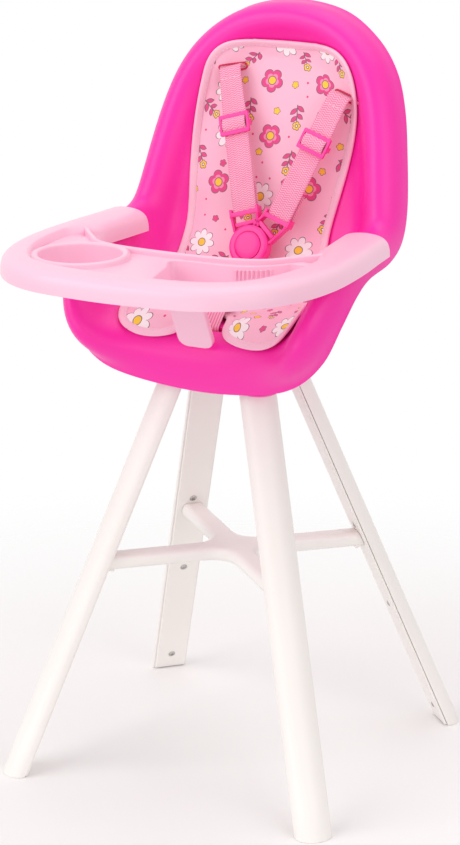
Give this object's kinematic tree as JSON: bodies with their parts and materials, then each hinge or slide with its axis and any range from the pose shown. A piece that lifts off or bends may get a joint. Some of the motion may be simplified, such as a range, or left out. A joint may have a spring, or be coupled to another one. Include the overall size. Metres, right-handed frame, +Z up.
{
  "type": "doll high chair",
  "caption": "Toy high chair for dolls: bucket seat on splayed legs, lift-off tray with cup ring and basin, printed pad and buckled harness.",
  "frame": {"origin": "on the floor, below the middle of the chair's bounding box", "axes": "+Z up; the chair's front and tray face -Y; +X is to the right of someone who looks at the chair's front along +Y, so the cup ring is on the -X side"},
  "size_m": [0.2992, 0.3484, 0.6135],
  "materials": {
    "magenta_plastic": "smooth moulded plastic",
    "pale_pink_plastic": "smooth moulded plastic, light sheen",
    "white_plastic": "satin moulded plastic",
    "steel": "bright zinc-plated steel",
    "pad_fabric": "printed woven cloth over soft filling, bound edge",
    "webbing": "woven tape 25 mm wide",
    "harness_plastic": "smooth moulded plastic"
  },
  "bodies": {
    "chair": {"buckle_body": "harness_plastic", "buckle_spring": "steel", "crotch_strap": "webbing", "crotch_strap_stop": "harness_plastic", "hub_screw_1": "steel", "hub_screw_2": "steel", "hub_screw_3": "steel", "hub_screw_4": "steel", "leg_brace": "white_plastic", "leg_cover_front_left": "white_plastic", "leg_cover_front_right": "white_plastic", "leg_cover_rear_left": "white_plastic", "leg_cover_rear_right": "white_plastic", "leg_front_left": "white_plastic", "leg_front_right": "white_plastic", "leg_hub": "magenta_plastic", "leg_rear_left": "white_plastic", "leg_rear_right": "white_plastic", "leg_screw_front_left_1": "steel", "leg_screw_front_left_2": "steel", "leg_screw_front_left_3": "steel", "leg_screw_front_right_1": "steel", "leg_screw_front_right_2": "steel", "leg_screw_front_right_3": "steel", "leg_screw_rear_left_1": "steel", "leg_screw_rear_left_2": "steel", "leg_screw_rear_left_3": "steel", "leg_screw_rear_right_1": "steel", "leg_screw_rear_right_2": "steel", "leg_screw_rear_right_3": "steel", "seat_pad": "pad_fabric", "seat_shell": "magenta_plastic", "shoulder_strap_left": "webbing", "shoulder_strap_right": "webbing", "strap_stop_left": "harness_plastic", "strap_stop_right": "harness_plastic"},
    "tray": {"tray": "pale_pink_plastic", "crotch_post": "pale_pink_plastic"},
    "button": {"buckle_button": "harness_plastic"},
    "adjuster_left": {"strap_adjuster_left": "harness_plastic"},
    "adjuster_right": {"strap_adjuster_right": "harness_plastic"},
    "tongue_left": {"strap_tongue_left": "harness_plastic"},
    "tongue_right": {"strap_tongue_right": "harness_plastic"}
  },
  "joints": [
    {"name": "tray_lift", "type": "slide", "parent": "chair", "child": "tray", "axis": [0, 0, 1], "range_m": [0, 0.06]},
    {"name": "button_press", "type": "slide", "parent": "chair", "child": "button", "axis": [0, 0.93, -0.3675], "range_m": [0, 0.0015], "stiffness_N_per_m": 500, "springref_m": -0.002, "deforming": ["buckle_spring"]},
    {"name": "adjuster_left_slide", "type": "slide", "parent": "chair", "child": "adjuster_left", "axis": [-0.2881, 0.3519, 0.8906], "range_m": [-0.02, 0.02]},
    {"name": "tongue_left_release", "type": "slide", "parent": "chair", "child": "tongue_left", "axis": [-0.2881, 0.3519, 0.8906], "range_m": [0, 0.009], "deforming": ["shoulder_strap_left"]},
    {"name": "adjuster_right_slide", "type": "slide", "parent": "chair", "child": "adjuster_right", "axis": [0.2881, 0.3519, 0.8906], "range_m": [-0.02, 0.02]},
    {"name": "tongue_right_release", "type": "slide", "parent": "chair", "child": "tongue_right", "axis": [0.2881, 0.3519, 0.8906], "range_m": [0, 0.009], "deforming": ["shoulder_strap_right"]}
  ]
}
